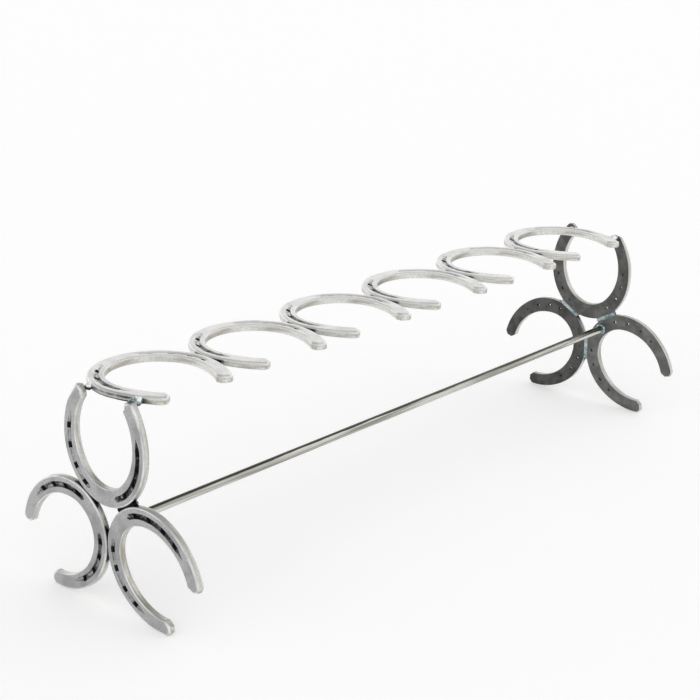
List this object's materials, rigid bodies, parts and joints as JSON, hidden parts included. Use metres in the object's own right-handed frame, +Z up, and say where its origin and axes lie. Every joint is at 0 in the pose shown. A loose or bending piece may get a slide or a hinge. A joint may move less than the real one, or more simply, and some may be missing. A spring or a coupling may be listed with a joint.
{
  "type": "boot rack",
  "caption": "Welded steel boot rack: horseshoes in a row hold the boots' shafts, stands of horseshoes carry the row, and a low rod takes the heels.",
  "frame": {"origin": "on the floor under the middle of the rack, at the bottom centre of its bounding box", "axes": "+X along the rack to the right seen from the front, +Y to the back where the shoes' toes point, +Z up"},
  "size_m": [0.8576, 0.271, 0.2417],
  "materials": {
    "shoe_steel": "tumbled bare steel, satin, brushed lengthways",
    "rod_steel": "bright drawn round bar",
    "weld_metal": "wire-brushed weld bead with heat tint"
  },
  "bodies": {
    "root": {"cradle_shoe_1": "shoe_steel", "cradle_shoe_2": "shoe_steel", "cradle_shoe_3": "shoe_steel", "cradle_shoe_4": "shoe_steel", "cradle_shoe_5": "shoe_steel", "cradle_shoe_6": "shoe_steel", "cradle_weld_1_2": "weld_metal", "cradle_weld_2_3": "weld_metal", "cradle_weld_3_4": "weld_metal", "cradle_weld_4_5": "weld_metal", "cradle_weld_5_6": "weld_metal", "heel_rod": "rod_steel", "left_heel_weld_front": "weld_metal", "left_heel_weld_rear": "weld_metal", "left_rod_weld": "weld_metal", "left_seam_weld_rear_front": "weld_metal", "left_seam_weld_top_front": "weld_metal", "left_seam_weld_top_rear": "weld_metal", "left_stand_front_shoe": "shoe_steel", "left_stand_rear_shoe": "shoe_steel", "left_stand_top_shoe": "shoe_steel", "right_heel_weld_front": "weld_metal", "right_heel_weld_rear": "weld_metal", "right_rod_weld": "weld_metal", "right_seam_weld_rear_front": "weld_metal", "right_seam_weld_top_front": "weld_metal", "right_seam_weld_top_rear": "weld_metal", "right_stand_front_shoe": "shoe_steel", "right_stand_rear_shoe": "shoe_steel", "right_stand_top_shoe": "shoe_steel"}
  },
  "joints": []
}
